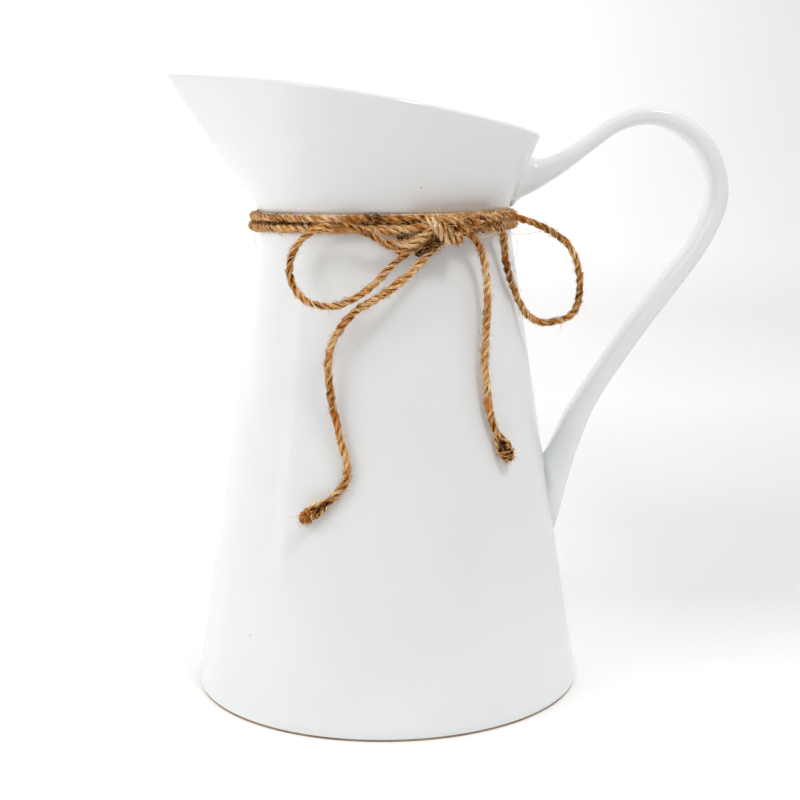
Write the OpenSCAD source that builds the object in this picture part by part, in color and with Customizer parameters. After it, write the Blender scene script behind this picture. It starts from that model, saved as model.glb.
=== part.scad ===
// Glazed stoneware pitcher with a pinched spout, a looped strap handle and a jute twine bow.
// Origin: centre of the underside. +Z up, the spout points to -X, the handle to +X, the bow to -Y.
// All sizes are in millimetres.

/* [Body] */
// Diameter of the cone at the foot, over the glaze
foot_d = 192.4; // [186:0.2:198]
// Diameter at the neck crease, where the collar starts
neck_d = 121.8; // [120:0.2:122]
// Height of the neck crease above the table
neck_z = 234; // [233.5:0.1:234.5]
// How far the cone's side bows in at half height
waist_in = 0.5; // [0:0.1:1]
// Thickness of the clay wall
wall = 4.6; // [3.6:0.1:5.5]
// Thickness of the floor inside the body
floor_h = 7; // [5:0.5:10]
// Height of the bare clay edge below the glaze
bare_h = 0.8; // [0.4:0.1:1.5]
// How far the bare clay edge stands in from the glaze
bare_in = 0.7; // [0.3:0.1:1.5]

/* [Collar and spout] */
// Height of the spout's tip above the table
tip_z = 300; // [292:1:308]
// Height of the rim at the handle side
back_z = 270; // [266:1:274]
// Distance of the spout's tip from the body's axis
tip_x = 103.8; // [96:0.2:108]
// Radius of the rim's round part
rim_r = 76; // [73:0.5:79]
// Share of the rim's fall that is straight, the rest curves down
rim_straight = 0.54; // [0.3:0.02:1]
// Radius of the spout's nose seen from above
nose_r = 6; // [5.5:0.5:9]
// Thickness of the rounded lip
lip_t = 3.8; // [3:0.1:4.4]

/* [Handle] */
// Width of the strap, from face to face
strap_w = 22; // [18:1:26]
// Thickness of the strap over the arch
strap_t = 9.4; // [8:0.2:11]
// Thickness of the strap down the long lower run
strap_low_t = 10; // [9:0.2:11]
// Extra width at each end, where the strap is pressed on
root_flare = 4; // [2:1:8]

/* [Twine] */
// Diameter of the jute twine
twine_d = 4; // [3.6:0.1:4.4]
// Height of the upper turn round the neck
turn_upper_z = 231.8; // [231.6:0.1:232]
// Height of the lower turn round the neck
turn_lower_z = 227; // [226.8:0.1:227.2]
// How far a turn stands out from the wall
turn_out = 3.8; // [3.4:0.1:4.2]
// Height of a turn, pressed a little flat by its own pull
turn_h = 4.6; // [4.2:0.1:4.6]

/* [Hidden] */

glaze = "white";
bare_clay = "burlywood";
jute = "peru";

foot_r = foot_d / 2;
neck_r = neck_d / 2;
wall_steps = 12;      // straight steps up the cone's gentle curve
collar_turns = 48;    // steps round each half of the collar
collar_rows = 8;      // steps up the collar
lip_steps = 4;        // steps over the rounded lip
cord_sides = 8;
strap_sides = 20;
strap_steps = 5;      // steps between two points of the strap's line

// ---- Shared shapes ----

// Outer radius of the cone at height z
function cone_r(z) =
    let (s = z / neck_z)
    foot_r + (neck_r - foot_r) * s - 4 * waist_in * s * (1 - s);

// Radius of a teardrop with its point at angle 0: an arc of radius r, two straight
// flanks and a rounded nose. lean is the angle between the flank's normal and the point.
function teardrop(angle, r, nose, lean) =
    let (centre = (r - nose) / cos(lean),
         nose_end = atan2(nose * sin(lean), centre + nose * cos(lean)))
    angle < nose_end
        ? centre * cos(angle) + sqrt(pow(nose, 2) - pow(centre * sin(angle), 2))
        : r / cos(max(0, lean - angle));

// Catmull-Rom curve through the points of a route
function clamped(points, i) = points[min(max(i, 0), len(points) - 1)];
function between(a, b, c, d, t) =
    0.5 * (2 * b + (c - a) * t + (2 * a - 5 * b + 4 * c - d) * t * t
           + (3 * b - a - 3 * c + d) * t * t * t);
function curve(points, steps) = [
    for (i = [0 : len(points) - 2], j = [0 : steps - 1])
        between(clamped(points, i - 1), points[i], points[i + 1],
                clamped(points, i + 2), j / steps),
    points[len(points) - 1]];

function unit(v) = v / norm(v);
function heading(points, i) = unit(clamped(points, i + 1) - clamped(points, i - 1));

// Triangles of a tube whose rings follow one another, closed at both ends
function tube_faces(rings, sides) = concat(
    [[for (k = [0 : sides - 1]) k]],
    [for (i = [0 : rings - 2], k = [0 : sides - 1], half = [0, 1])
        let (a = i * sides + k, b = i * sides + (k + 1) % sides)
        half == 0 ? [a, a + sides, b] : [b, a + sides, b + sides]],
    [[for (k = [sides - 1 : -1 : 0]) (rings - 1) * sides + k]]);

// A round cord along a route, one ring at each point
module cord(points, d) {
    rings = [for (i = [0 : len(points) - 1])
        let (along = heading(points, i),
             side = unit(cross(along, [0, 1, 0])),
             up = cross(side, along))
        for (k = [0 : cord_sides - 1])
            let (a = 360 * k / cord_sides)
            points[i] + d / 2 * (cos(a) * side + sin(a) * up)];
    polyhedron(rings, tube_faces(len(points), cord_sides), convexity = 6);
}

// Everything inside the outer surface of the cone
module cone_solid() {
    rotate_extrude($fn = 120)
        polygon(concat(
            [[0, 0]],
            [for (i = [0 : wall_steps]) let (z = neck_z * i / wall_steps) [cone_r(z), z]],
            [[0, neck_z]]));
}

// ---- Clay ----

module body_wall() {
    color(glaze)
    rotate_extrude($fn = 120)
        polygon(concat(
            [for (i = [0 : wall_steps])
                let (z = bare_h + (neck_z - bare_h) * i / wall_steps) [cone_r(z), z]],
            [for (i = [wall_steps : -1 : 0])
                let (z = bare_h + (neck_z - bare_h) * i / wall_steps) [cone_r(z) - wall, z]]));
}

module base_disc() {
    edge_r = foot_r - bare_in;
    color(bare_clay)
    rotate_extrude($fn = 120)
        polygon([[0, 0], [edge_r - 0.3, 0], [edge_r, bare_h / 2], [edge_r, bare_h],
                 [cone_r(bare_h) - wall, bare_h],
                 [cone_r(floor_h) - wall, floor_h], [0, floor_h]]);
}

// The tilt of the spout's flanks, found from the nose and the tip
flank_lean = acos((rim_r - nose_r) / (tip_x - nose_r));

function rim_z(x) =
    let (s = (x + tip_x) / (rim_r + tip_x))
    tip_z - (tip_z - back_z) * (rim_straight * s + (1 - rim_straight) * s * s);

// Angle from the spout of step i, closer together at the nose
function turn_angle(i) = 180 * pow(abs(i) / collar_turns, 1.4) * sign(i);

// One point of the collar's skin: inset from the outer skin, up is 0 at the neck, 1 at the rim
function collar_point(i, up, inset, drop) =
    let (angle = abs(turn_angle(i)),
         rim = teardrop(angle, rim_r - inset, nose_r - inset, flank_lean),
         r = (neck_r - inset) * (1 - up) + rim * up,
         top = rim_z(-teardrop(angle, rim_r, nose_r, flank_lean) * cos(angle)) - drop)
    [-r * cos(turn_angle(i)), -r * sin(turn_angle(i)), neck_z + (top - neck_z) * up];

// Each row is [up, inset, drop below the rim]; the lip is a half round
collar_profile = concat(
    [for (j = [0 : collar_rows]) [j / collar_rows, 0, lip_t / 2]],
    [for (j = [1 : lip_steps - 1])
        let (a = 180 * j / lip_steps)
        [1, lip_t / 2 * (1 - cos(a)), lip_t / 2 * (1 - sin(a))]],
    [for (j = [collar_rows : -1 : 0]) [j / collar_rows, lip_t, lip_t / 2]]);

module collar_skin(rows) {
    around = 2 * collar_turns;
    points = [for (row = rows, i = [-collar_turns : collar_turns - 1])
        collar_point(i, row[0], row[1], row[2])];
    faces = [for (j = [0 : len(rows) - 1], i = [0 : around - 1], half = [0, 1])
        let (up = (j + 1) % len(rows), next = (i + 1) % around,
             a = j * around + i, b = j * around + next,
             c = up * around + i, d = up * around + next)
        half == 0 ? [a, c, b] : [b, c, d]];
    polyhedron(points, faces, convexity = 6);
}

module collar() {
    color(glaze) collar_skin(collar_profile);
}

// The collar filled in, to trim what is pressed against its outside
module collar_solid() {
    around = 2 * collar_turns;
    rows = [for (j = [0 : collar_rows]) [j / collar_rows, 0, lip_t / 2]];
    points = concat(
        [for (row = rows, i = [-collar_turns : collar_turns - 1])
            collar_point(i, row[0], row[1], row[2])],
        [[0, 0, neck_z], [0, 0, (tip_z + back_z) / 2]]);
    under = len(rows) * around;
    sides = [for (j = [0 : len(rows) - 2], i = [0 : around - 1], half = [0, 1])
        let (next = (i + 1) % around, a = j * around + i, b = j * around + next)
        half == 0 ? [a, a + around, b] : [b, a + around, b + around]];
    caps = [for (i = [0 : around - 1], top = [0, 1])
        let (next = (i + 1) % around, row = (len(rows) - 1) * around)
        top == 0 ? [i, next, under] : [row + next, row + i, under + 1]];
    polyhedron(points, concat(sides, caps), convexity = 6);
}

// The strap's line in the XZ plane: out of the collar, over the arch, down to the cone
strap_line = [
    [60, 247], [70, 249.5], [84, 255], [99, 265], [111, 273.5], [123, 278],
    [135, 277.5], [146.5, 272], [156, 263], [161.5, 251], [162.5, 239], [159.5, 228],
    [152, 213.5], [140.5, 198], [121.5, 172.5], [102.5, 144], [92.5, 124.5], [85.5, 100],
    [80, 74]];
// Thickness at each of those points
strap_thick = [
    19, 16, strap_t + 1, strap_t - 1, strap_t - 1, strap_t, strap_t, strap_t, strap_t,
    strap_t, strap_t + 0.6, strap_t + 0.4, strap_t, strap_low_t, strap_low_t, strap_low_t,
    strap_low_t + 2.4, strap_low_t + 1, strap_low_t];

module strap_solid() {
    line = curve(strap_line, strap_steps);
    thick = curve(strap_thick, strap_steps);
    last = len(line) - 1;
    points = [for (i = [0 : last])
        let (along = heading(line, i),
             end = max(1 - i / (4 * strap_steps), (i - last) / (3 * strap_steps) + 1, 0),
             tongue = sqrt(1 - pow(max(0, 1 - (last - i) / strap_steps), 2) * 0.96),
             half_w = (strap_w / 2 + root_flare / 2 * end * end) * tongue)
        for (k = [0 : strap_sides - 1])
            let (a = 360 * k / strap_sides,
                 out = thick[i] / 2 * sign(cos(a)) * pow(abs(cos(a)), 0.75),
                 wide = half_w * sign(sin(a)) * pow(abs(sin(a)), 0.75))
            [line[i][0] - out * along[1], wide, line[i][1] + out * along[0]]];
    polyhedron(points, tube_faces(len(line), strap_sides), convexity = 6);
}

module handle() {
    color(glaze)
    difference() {
        strap_solid();
        cone_solid();
        collar_solid();
    }
}

// ---- Twine ----

// One turn round the neck: a flattened round of twine against the wall
module twine_turn(z) {
    squeeze = 0.3;    // the part of the round that the wall takes away
    color(jute)
    difference() {
        rotate_extrude($fn = 120)
            polygon([for (k = [0 : 15])
                let (a = 22.5 * k)
                [cone_r(z) - squeeze + (turn_out + squeeze) / 2 * (1 + cos(a)),
                 z + turn_h / 2 * sin(a)]]);
        cone_solid();
    }
}
module twine_turn_upper() { twine_turn(turn_upper_z); }
module twine_turn_lower() { twine_turn(turn_lower_z); }

// Twine pulled through between two points
module pull(a, b, r) {
    hull() {
        translate(a) sphere(r, $fn = 24);
        translate(b) sphere(r, $fn = 24);
    }
}

module bow_knot() {
    color(jute) {
        pull([20, -67.5, 224.5], [30, -64.5, 228.5], 5);
        pull([21.5, -67, 232], [27, -70.5, 227.5], 2.5);
        pull([27, -70.5, 227.5], [32, -66.5, 220.5], 2.5);
    }
}

loop_left_route = [
    [18.5, -67.5, 224.5], [10, -70, 221.5], [1.5, -70.5, 222], [-7, -70, 226.5],
    [-16.5, -68.5, 229.5], [-26.5, -66.5, 229], [-34.5, -65.5, 224.5],
    [-39.5, -66, 218], [-41, -68.5, 211], [-39.5, -72, 204], [-34.5, -76.5, 198],
    [-27, -80, 195.5], [-19.5, -81, 195.5], [-11.5, -81, 199], [-4, -79, 204],
    [3.5, -76, 211.5], [11, -72.5, 217.5], [17, -68.5, 222.5]];
loop_right_route = [
    [31, -65, 228.5], [39.5, -57, 230.5], [48, -49.5, 231.5], [56.5, -39.5, 232.5],
    [64.5, -33, 230.5], [73, -29, 227.5], [80.5, -26, 223.5], [87, -24.5, 218.5],
    [91, -24, 212], [93, -24, 204], [93.5, -24, 196], [92, -24.5, 188.5],
    [88, -25, 183.5], [81, -26, 181.5], [74, -28, 181.5], [67.5, -30, 186],
    [63, -30.5, 194], [59.5, -36, 202.5], [57, -39, 211], [56, -41, 219],
    [54, -44.5, 226], [47, -51.5, 227.5], [40, -59, 227]];
tail_left_route = [
    [24.5, -65.5, 220], [19, -71, 215], [12.5, -75.5, 209], [5, -78.5, 203],
    [-3, -80, 198], [-11.5, -79.5, 193], [-18, -77.5, 186], [-22.5, -75.5, 178],
    [-24.5, -74.5, 169], [-24, -74.5, 160], [-23, -74.5, 151], [-21, -75.5, 142],
    [-19, -77, 133], [-16.5, -78, 124.5], [-17.5, -79, 116], [-22, -79.5, 110],
    [-25.5, -79, 107]];
tail_right_route = [
    [31, -63, 224.5], [37.5, -59.5, 225.5], [42.5, -57, 221.5], [45.5, -55.5, 214.5],
    [47, -55, 206.5], [47.5, -55.5, 198], [47.5, -56.5, 190], [47, -57.5, 182],
    [46.5, -58.5, 174], [46, -60, 165.5], [47, -60, 157.5], [47.5, -60.5, 149.5],
    [49, -60.5, 141], [51.5, -59.5, 134], [53, -59, 131.5]];

module bow_loop_left() { color(jute) cord(loop_left_route, twine_d); }
module bow_loop_right() { color(jute) cord(loop_right_route, twine_d); }
module bow_tail_left() { color(jute) cord(tail_left_route, twine_d); }
module bow_tail_right() { color(jute) cord(tail_right_route, twine_d); }

module end_knot_left() {
    color(jute) {
        pull([-27, -79.5, 106], [-33, -79, 102], 3.2);
        pull([-33, -79, 102], [-38, -77.5, 98], 2.8);
    }
}

module end_knot_right() {
    color(jute) {
        pull([53, -59.5, 130.5], [56, -58, 126], 3.4);
        pull([56, -58, 126], [58, -57.5, 122.5], 3);
    }
}

body_wall();
base_disc();
collar();
handle();
twine_turn_upper();
twine_turn_lower();
bow_knot();
bow_loop_left();
bow_loop_right();
bow_tail_left();
bow_tail_right();
end_knot_left();
end_knot_right();
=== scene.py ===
"""Looks of a glazed stoneware pitcher with a looped strap handle and a jute twine bow.

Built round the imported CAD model, in its frame and in metres: the origin is the centre
of the underside, +Z is up, the spout points to -X, the handle to +X and the bow to -Y.
"""

import logging
import math
from dataclasses import dataclass, field
from enum import Enum

import bpy
import numpy as np
from mathutils import Matrix, Vector


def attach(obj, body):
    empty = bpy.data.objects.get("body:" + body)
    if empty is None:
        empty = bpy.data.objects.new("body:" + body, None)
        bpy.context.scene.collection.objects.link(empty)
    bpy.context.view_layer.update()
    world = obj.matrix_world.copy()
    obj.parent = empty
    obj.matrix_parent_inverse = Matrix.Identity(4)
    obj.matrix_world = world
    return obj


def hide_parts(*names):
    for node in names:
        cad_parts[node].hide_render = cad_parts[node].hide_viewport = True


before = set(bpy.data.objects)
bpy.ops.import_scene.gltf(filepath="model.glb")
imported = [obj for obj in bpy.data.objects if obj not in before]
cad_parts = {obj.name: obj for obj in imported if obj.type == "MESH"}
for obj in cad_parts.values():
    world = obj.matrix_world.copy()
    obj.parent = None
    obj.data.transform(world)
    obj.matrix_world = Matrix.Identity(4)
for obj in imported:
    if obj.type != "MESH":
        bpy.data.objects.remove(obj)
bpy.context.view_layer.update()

MM = 0.001
ROOT = "root"
# The jute's tone at each point, with painted shade in creases and hollows included.
TONE_AND_SHADE = "fibre_tone_and_shade"
log = logging.getLogger("pitcher")

Array = np.ndarray
Rng = np.random.Generator
Socket = bpy.types.NodeSocket
Pair = tuple[float, float]
Triple = tuple[float, float, float]


class Slot(Enum):
    """The record's material slots."""

    GLAZE = "white_glaze"
    CLAY = "bare_clay"
    JUTE = "jute_twine"


class Twist(Enum):
    """Which way the plies run: S leans to the left up the twine, Z to the right."""

    S = -1
    Z = 1


# ---- Lines and meshes ----


def unit(vectors: Array) -> Array:
    """Returns each row of vectors at length one."""
    return vectors / np.maximum(np.linalg.norm(vectors, axis=-1, keepdims=True), 1e-12)


def smooth_curve(points: list | Array, steps: int = 12) -> Array:
    """Draws a Catmull-Rom curve through the points of a route.

    Args:
        points: the route's points, one row each, of any width.
        steps: how many steps each stretch between two points takes.

    Returns:
        The curve's points, one row each.
    """
    given = np.asarray(points, float)
    padded = np.vstack([given[:1], given, given[-1:]])
    t = np.linspace(0, 1, steps, endpoint=False)[:, None]
    stretches = []
    for a, b, c, d in zip(padded, padded[1:], padded[2:], padded[3:]):
        stretches.append(0.5 * (2 * b + (c - a) * t + (2 * a - 5 * b + 4 * c - d) * t**2
                                + (3 * b - a - 3 * c + d) * t**3))
    return np.vstack([*stretches, given[-1:]])


def distances(line: Array) -> Array:
    """Returns how far along the line each of its points is."""
    return np.concatenate([[0], np.cumsum(np.linalg.norm(np.diff(line, axis=0), axis=1))])


def even_steps(line: Array, gap: float) -> Array:
    """Spaces a line's points evenly.

    Args:
        line: points, one row each, of any width.
        gap: about how far apart the new points are.

    Returns:
        The new points.
    """
    along = distances(line)
    at = np.linspace(0, along[-1], max(4, round(along[-1] / gap) + 1))
    return np.stack([np.interp(at, along, column) for column in line.T], axis=1)


def carried_axes(line: Array) -> tuple[Array, Array, Array]:
    """Carries a pair of side directions along a line without spinning them.

    Args:
        line: points in space, one row each.

    Returns:
        The heading, the side and the up direction at each point.
    """
    heading = unit(np.gradient(line, axis=0))
    start = np.array([0.0, 0.0, 1.0]) if abs(heading[0][2]) < 0.9 else np.array([1.0, 0.0, 0.0])
    side = [unit(np.cross(heading[0], start))]
    for direction in heading[1:]:
        side.append(unit(side[-1] - direction * np.dot(side[-1], direction)))
    side = np.array(side)
    return heading, side, np.cross(side, heading)


def ripple(rng: Rng, rows: int, columns: int, coarse: float) -> Array:
    """Makes smooth random values that change slowly down each column.

    Args:
        rng: the seeded source of random numbers.
        rows: how many rows to return.
        columns: how many columns to return.
        coarse: how many rows one swing takes.

    Returns:
        An array of rows by columns, mostly from -1 to 1.
    """
    knots = rng.normal(0, 0.5, (max(4, int(rows / coarse) + 3), columns))
    at = np.linspace(0, len(knots) - 1, rows)
    return np.stack([np.interp(at, np.arange(len(knots)), knots[:, k])
                     for k in range(columns)], axis=1)


def spun(values: Array, turns: Array) -> Array:
    """Winds values given round a tube's sides, so that each streak runs askew.

    Args:
        values: one row for each ring, with a value for each side.
        turns: how far round each ring's row is moved, in full turns.

    Returns:
        The values after winding.
    """
    sides = values.shape[1]
    at = (np.arange(sides)[None, :] + turns[:, None] * sides) % sides
    low = at.astype(int)
    share = at - low
    rows = np.arange(len(values))[:, None]
    return values[rows, low % sides] * (1 - share) + values[rows, (low + 1) % sides] * share


class Shape:
    """Points and faces gathered sheet by sheet into one mesh."""

    def __init__(self) -> None:
        """Starts with nothing in it."""
        self.points: list[Array] = []
        self.tones: list[Array] = []
        self.faces: list[tuple[int, ...]] = []
        self.total = 0

    def grid(self, rings: Array, tones: Array | float = 0.5,
             closed: bool = False, capped: bool = True) -> None:
        """Adds a tube of rings.

        Args:
            rings: points as rings by sides by 3.
            tones: a tone for each point, or one for all.
            closed: whether the last ring joins the first.
            capped: whether an open tube's two ends are filled.
        """
        count, sides = rings.shape[:2]
        index = self.total + np.arange(count * sides).reshape(count, sides)
        here = index if closed else index[:-1]
        there = np.roll(index, -1, axis=0) if closed else index[1:]
        turned = np.roll(here, -1, axis=1), np.roll(there, -1, axis=1)
        quads = np.stack([here, turned[0], turned[1], there], axis=-1).reshape(-1, 4)
        self.faces += [tuple(q) for q in quads.tolist()]
        if capped and not closed:
            self.faces += [tuple(index[0][::-1].tolist()), tuple(index[-1].tolist())]
        self.points.append(rings.reshape(-1, 3))
        self.tones.append(np.broadcast_to(tones, (count, sides)).reshape(-1))
        self.total += count * sides

    def hair(self, line: Array, radius: float, tone: float, sides: int = 3) -> None:
        """Adds one thin fibre that tapers to both ends.

        Args:
            line: the fibre's points.
            radius: its radius at the middle.
            tone: its tone.
            sides: how many sides it has.
        """
        _, side, up = carried_axes(line)
        taper = radius * (1 - 0.75 * np.abs(np.linspace(-1, 1, len(line))) ** 2.2)
        angle = np.linspace(0, 2 * math.pi, sides, endpoint=False)
        spokes = (np.cos(angle)[None, :, None] * side[:, None]
                  + np.sin(angle)[None, :, None] * up[:, None])
        self.grid(line[:, None] + taper[:, None, None] * spokes, tone)

    def build(self, name: str) -> bpy.types.Object:
        """Makes the gathered mesh.

        Args:
            name: the piece's name.

        Returns:
            The new object, smooth shaded, with each point's tone, painted shade included, stored
            on it.
        """
        mesh = bpy.data.meshes.new(name)
        mesh.from_pydata(np.vstack(self.points).tolist(), [], self.faces)
        tone = mesh.attributes.new(TONE_AND_SHADE, "FLOAT", "POINT")
        tone.data.foreach_set("value", np.concatenate(self.tones).astype(np.float32))
        mesh.polygons.foreach_set("use_smooth", [True] * len(mesh.polygons))
        mesh.update()
        made = bpy.data.objects.new(name, mesh)
        bpy.context.scene.collection.objects.link(made)
        return made


def lathe(profile: Array, sides: int) -> Array:
    """Turns a profile round the pitcher's axis.

    Args:
        profile: rows of radius and height.
        sides: how many steps a full turn takes.

    Returns:
        Points as profile rows by sides by 3.
    """
    angle = np.linspace(0, 2 * math.pi, sides, endpoint=False)
    radius, height = profile[:, :1], profile[:, 1:]
    return np.stack([radius * np.cos(angle), radius * np.sin(angle),
                     np.broadcast_to(height, (len(profile), sides))], axis=-1)


def corner(centre: Pair, radius: float, start: float, end: float,
           steps: int = 6) -> list[Pair]:
    """Rounds a corner of a profile.

    Args:
        centre: the arc's centre, as radius and height.
        radius: the arc's radius.
        start: the angle of its first point, in degrees.
        end: the angle of its last point, in degrees.
        steps: how many steps it takes.

    Returns:
        The arc's points.
    """
    angles = np.radians(np.linspace(start, end, steps + 1))
    return [(centre[0] + radius * math.cos(a), centre[1] + radius * math.sin(a))
            for a in angles]


# ---- Finishes ----


class NodeSheet:
    """A new material and the short calls that lay out its nodes."""

    def __init__(self, name: str) -> None:
        """Starts a material that holds only its shader and its output."""
        self.material = bpy.data.materials.new(name)
        self.material.use_nodes = True
        self.tree = self.material.node_tree
        self.shader = self.tree.nodes["Principled BSDF"]
        self.place = self.add("ShaderNodeTexCoord").outputs["Object"]

    def add(self, kind: str, **values: object) -> bpy.types.Node:
        """Adds a node.

        Args:
            kind: the node's kind.
            values: its own properties.

        Returns:
            The node.
        """
        node = self.tree.nodes.new(kind)
        for key, value in values.items():
            setattr(node, key, value)
        return node

    def link(self, source: Socket, target: Socket) -> None:
        """Joins an output to an input."""
        self.tree.links.new(source, target)

    def noise(self, size: float, detail: float = 3.0) -> Socket:
        """Adds noise.

        Args:
            size: how wide one patch is, in metres.
            detail: how many finer layers it has.

        Returns:
            The noise, from 0 to 1.
        """
        node = self.add("ShaderNodeTexNoise")
        node.inputs["Scale"].default_value = 1 / size
        node.inputs["Detail"].default_value = detail
        self.link(self.place, node.inputs["Vector"])
        return node.outputs["Fac"]

    def ramp(self, source: Socket, stops: list[tuple[float, Triple]]) -> Socket:
        """Turns a value into colours.

        Args:
            source: the value.
            stops: where each colour stands, and the colour.

        Returns:
            The colour.
        """
        node = self.add("ShaderNodeValToRGB")
        elements = node.color_ramp.elements
        while len(elements) < len(stops):
            elements.new(0.5)
        for element, (where, colour) in zip(elements, stops):
            element.position = where
            element.color = (*colour, 1)
        self.link(source, node.inputs["Fac"])
        return node.outputs["Color"]

    def span(self, source: Socket, low: float, high: float, to_low: float | Socket = 0.0,
             to_high: float | Socket = 1.0) -> Socket:
        """Spreads a value over a new range and clamps it there.

        Args:
            source: the value.
            low: where the value starts.
            high: where it ends.
            to_low: the result at low, linked or fixed.
            to_high: the result at high, linked or fixed.

        Returns:
            The new value.
        """
        node = self.add("ShaderNodeMapRange")
        for key, value in zip(("From Min", "From Max", "To Min", "To Max"),
                              (low, high, to_low, to_high)):
            if isinstance(value, Socket):
                self.link(value, node.inputs[key])
            else:
                node.inputs[key].default_value = value
        self.link(source, node.inputs["Value"])
        return node.outputs["Result"]

    def sum(self, first: Socket, second: Socket, share: float) -> Socket:
        """Adds a share of one value to another.

        Args:
            first: the value that is kept whole.
            second: the value that is added.
            share: how much of it is added.

        Returns:
            The sum.
        """
        node = self.add("ShaderNodeMath", operation="MULTIPLY_ADD")
        self.link(second, node.inputs[0])
        node.inputs[1].default_value = share
        self.link(first, node.inputs[2])
        return node.outputs[0]

    def times(self, first: Socket, second: Socket) -> Socket:
        """Multiplies two values.

        Args:
            first: one value.
            second: the other.

        Returns:
            The product.
        """
        node = self.add("ShaderNodeMath", operation="MULTIPLY")
        self.link(first, node.inputs[0])
        self.link(second, node.inputs[1])
        return node.outputs[0]

    def mix(self, share: Socket, first: Socket, second: Socket | Triple) -> Socket:
        """Mixes two colours.

        Args:
            share: how much of the second there is.
            first: the first colour.
            second: the second colour, linked or fixed.

        Returns:
            The mixed colour.
        """
        node = self.add("ShaderNodeMix", data_type="RGBA")
        self.link(share, node.inputs["Factor"])
        self.link(first, node.inputs[6])
        if isinstance(second, tuple):
            node.inputs[7].default_value = (*second, 1)
        else:
            self.link(second, node.inputs[7])
        return node.outputs[2]

    def bump(self, heights: list[tuple[Socket, float, float]]) -> None:
        """Stacks bumps on the shader.

        Args:
            heights: for each, its height, its strength and its depth in metres.
        """
        before = None
        for height, strength, depth in heights:
            node = self.add("ShaderNodeBump")
            node.inputs["Strength"].default_value = strength
            node.inputs["Distance"].default_value = depth
            self.link(height, node.inputs["Height"])
            if before:
                self.link(before, node.inputs["Normal"])
            before = node.outputs["Normal"]
        self.link(before, self.shader.inputs["Normal"])

    def colour(self, source: Socket) -> None:
        """Gives the shader its colour."""
        self.link(source, self.shader.inputs["Base Color"])

    def axes(self) -> tuple[Socket, ...]:
        """Returns the place's X, Y and Z, each as a value."""
        apart = self.add("ShaderNodeSeparateXYZ")
        self.link(self.place, apart.inputs[0])
        return tuple(apart.outputs)


@dataclass(frozen=True)
class WhiteGlaze:
    """Glossy white glaze: soft waves, fine ripple, and iron specks that sit in pinholes."""

    white: Triple = (0.830, 0.848, 0.848)
    thick: Triple = (0.860, 0.876, 0.878)
    speck: Triple = (0.30, 0.22, 0.15)
    thin_edge: Triple = (0.80, 0.72, 0.60)
    wave: float = 34 * MM
    ripple: float = 3.5 * MM
    edge_height: float = 1.25 * MM
    edge_fade: float = 0.5 * MM
    edge_wander: float = 0.9 * MM
    edge_patch: float = 7 * MM
    speck_cell: float = 9 * MM
    speck_rim: Pair = (0.026, 0.05)
    speck_chance: Pair = (0.93, 0.95)
    gloss: Pair = (0.035, 0.08)
    gloss_patch: float = 16 * MM

    def make(self) -> bpy.types.Material:
        """Makes the glaze.

        Returns:
            The new material.
        """
        sheet = NodeSheet("white_glaze")
        cloud = sheet.noise(self.wave * 1.6, 4.0)
        colour = sheet.ramp(cloud, [(0.3, self.white), (0.7, self.thick)])
        dots = sheet.add("ShaderNodeTexVoronoi", feature="F1")
        dots.inputs["Scale"].default_value = 1 / self.speck_cell
        sheet.link(sheet.place, dots.inputs["Vector"])
        pick = sheet.add("ShaderNodeSeparateColor")
        sheet.link(dots.outputs["Color"], pick.inputs[0])
        near = sheet.span(dots.outputs["Distance"], *self.speck_rim, 1.0, 0.0)
        specks = sheet.times(near, sheet.span(pick.outputs[0], *self.speck_chance))
        colour = sheet.mix(specks, colour, self.speck)
        height = sheet.sum(sheet.axes()[2], sheet.noise(self.edge_patch), self.edge_wander)
        edge = sheet.span(height, self.edge_height, self.edge_height + self.edge_fade, 1.0, 0.0)
        sheet.colour(sheet.mix(edge, colour, self.thin_edge))
        sheet.link(sheet.span(sheet.noise(self.gloss_patch, 4.0), 0.3, 0.7, *self.gloss),
                   sheet.shader.inputs["Roughness"])
        sheet.shader.inputs["IOR"].default_value = 1.5
        sheet.bump([(sheet.noise(self.wave, 1.0), 0.3, 0.6 * MM),
                    (sheet.noise(self.ripple, 2.0), 0.06, 0.10 * MM),
                    (specks, 0.4, -0.08 * MM)])
        return sheet.material


@dataclass(frozen=True)
class BareClay:
    """Unglazed buff stoneware: grog, darker freckles and a dry, rough face."""

    pale: Triple = (0.46, 0.32, 0.20)
    toasted: Triple = (0.27, 0.17, 0.10)
    freckle: Triple = (0.20, 0.12, 0.07)

    def make(self) -> bpy.types.Material:
        """Makes the clay.

        Returns:
            The new material.
        """
        sheet = NodeSheet("bare_clay")
        colour = sheet.ramp(sheet.noise(22 * MM, 5.0), [(0.3, self.toasted), (0.65, self.pale)])
        grog = sheet.noise(0.8 * MM, 2.0)
        colour = sheet.mix(sheet.span(grog, 0.64, 0.72), colour, self.freckle)
        sheet.colour(colour)
        sheet.link(sheet.span(grog, 0.2, 0.8, 0.75, 0.95), sheet.shader.inputs["Roughness"])
        sheet.bump([(sheet.noise(6 * MM, 3.0), 0.3, 0.25 * MM), (grog, 0.6, 0.12 * MM)])
        return sheet.material


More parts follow.
